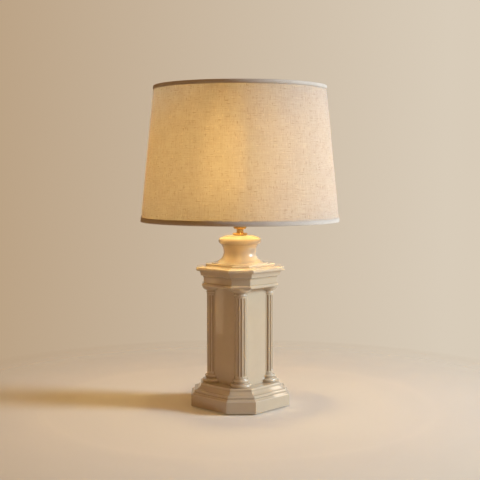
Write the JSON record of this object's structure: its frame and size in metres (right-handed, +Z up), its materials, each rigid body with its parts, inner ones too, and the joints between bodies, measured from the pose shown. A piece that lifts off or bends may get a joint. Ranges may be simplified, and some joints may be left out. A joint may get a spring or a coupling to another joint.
{
  "type": "column table lamp",
  "caption": "Table lamp: glazed ceramic pillar with engaged fluted columns and moulded plinth, brass neck, socket, harp, tapered round linen shade and finial.",
  "frame": {"origin": "centre of the felt pad's underside, on the floor", "axes": "+Z up along the rod; the flat faces of the body look along X and Y; the harp stands in the XZ plane; the lead inlet faces +Y"},
  "size_m": [0.4063, 0.4064, 0.6624],
  "materials": {
    "glaze": "slip-cast earthenware under a cream gloss glaze",
    "felt": "dark wool felt",
    "steel": "zinc-plated steel",
    "brass": "polished and lacquered brass",
    "rubber": "moulded rubber",
    "black_plastic": "moulded black plastic",
    "knob_plastic": "moulded phenolic, polished",
    "card": "varnished card sleeve",
    "bulb_glass": "frosted white inside",
    "clear_glass": "clear glass mount",
    "vitrite": "black glass insulator",
    "base_metal": "rolled aluminium",
    "tungsten": "drawn wire",
    "linen": "oatmeal slub linen",
    "backing": "white styrene sheet",
    "tape": "woven trim tape"
  },
  "bodies": {
    "base": {"ceramic_body": "glaze", "felt_pad": "felt", "bottom_plate": "steel", "bottom_washer": "steel", "bottom_nut": "steel", "threaded_rod": "steel", "cord_bushing": "black_plastic", "neck_gasket": "rubber", "check_ring": "brass", "neck_stem": "brass", "neck_cup": "brass", "harp_saddle": "brass", "saddle_locknut": "brass", "socket_cap": "brass", "socket_set_screw": "brass", "socket_shell": "brass", "socket_liner": "card", "socket_core": "black_plastic", "screw_shell": "brass", "centre_contact": "brass", "terminal_screws": "brass"},
    "knob": {"switch_shaft": "steel", "switch_knob": "knob_plastic"},
    "bulb": {"bulb_glass": "bulb_glass", "bulb_base": "base_metal", "bulb_insulator": "vitrite", "bulb_contact": "steel", "bulb_stem": "clear_glass", "bulb_filament": "tungsten"},
    "harp": {"harp_wire": "brass", "harp_stud": "brass"},
    "left_sleeve": {"sleeve_left": "brass"},
    "right_sleeve": {"sleeve_right": "brass"},
    "shade": {"spider_fitter": "brass", "bottom_ring": "brass", "shade_liner": "backing", "shade_fabric": "linen", "top_trim": "tape", "bottom_trim": "tape"},
    "finial": {"finial": "brass"}
  },
  "joints": [
    {"name": "switch_turn", "type": "hinge", "parent": "base", "child": "knob", "pos_m": [0, -0.01895, 0.3978], "axis": [0, -1, 0], "continuous": true},
    {"name": "bulb_turn", "type": "hinge", "parent": "base", "child": "bulb", "pos_m": [0, 0, 0.4131], "axis": [0, 0, 1], "range_deg": [0, 1260]},
    {"name": "harp_lift", "type": "slide", "parent": "base", "child": "harp", "axis": [0, 0, 1], "range_m": [0, 0.03]},
    {"name": "left_sleeve_slide", "type": "slide", "parent": "harp", "child": "left_sleeve", "axis": [0, 0, 1], "range_m": [0, 0.02]},
    {"name": "right_sleeve_slide", "type": "slide", "parent": "harp", "child": "right_sleeve", "axis": [0, 0, 1], "range_m": [0, 0.02]},
    {"name": "shade_turn", "type": "hinge", "parent": "harp", "child": "shade", "pos_m": [0, 0, 0.6382], "axis": [0, 0, 1], "continuous": true},
    {"name": "finial_turn", "type": "hinge", "parent": "harp", "child": "finial", "pos_m": [0, 0, 0.6404], "axis": [0, 0, 1], "range_deg": [0, 3060]}
  ]
}
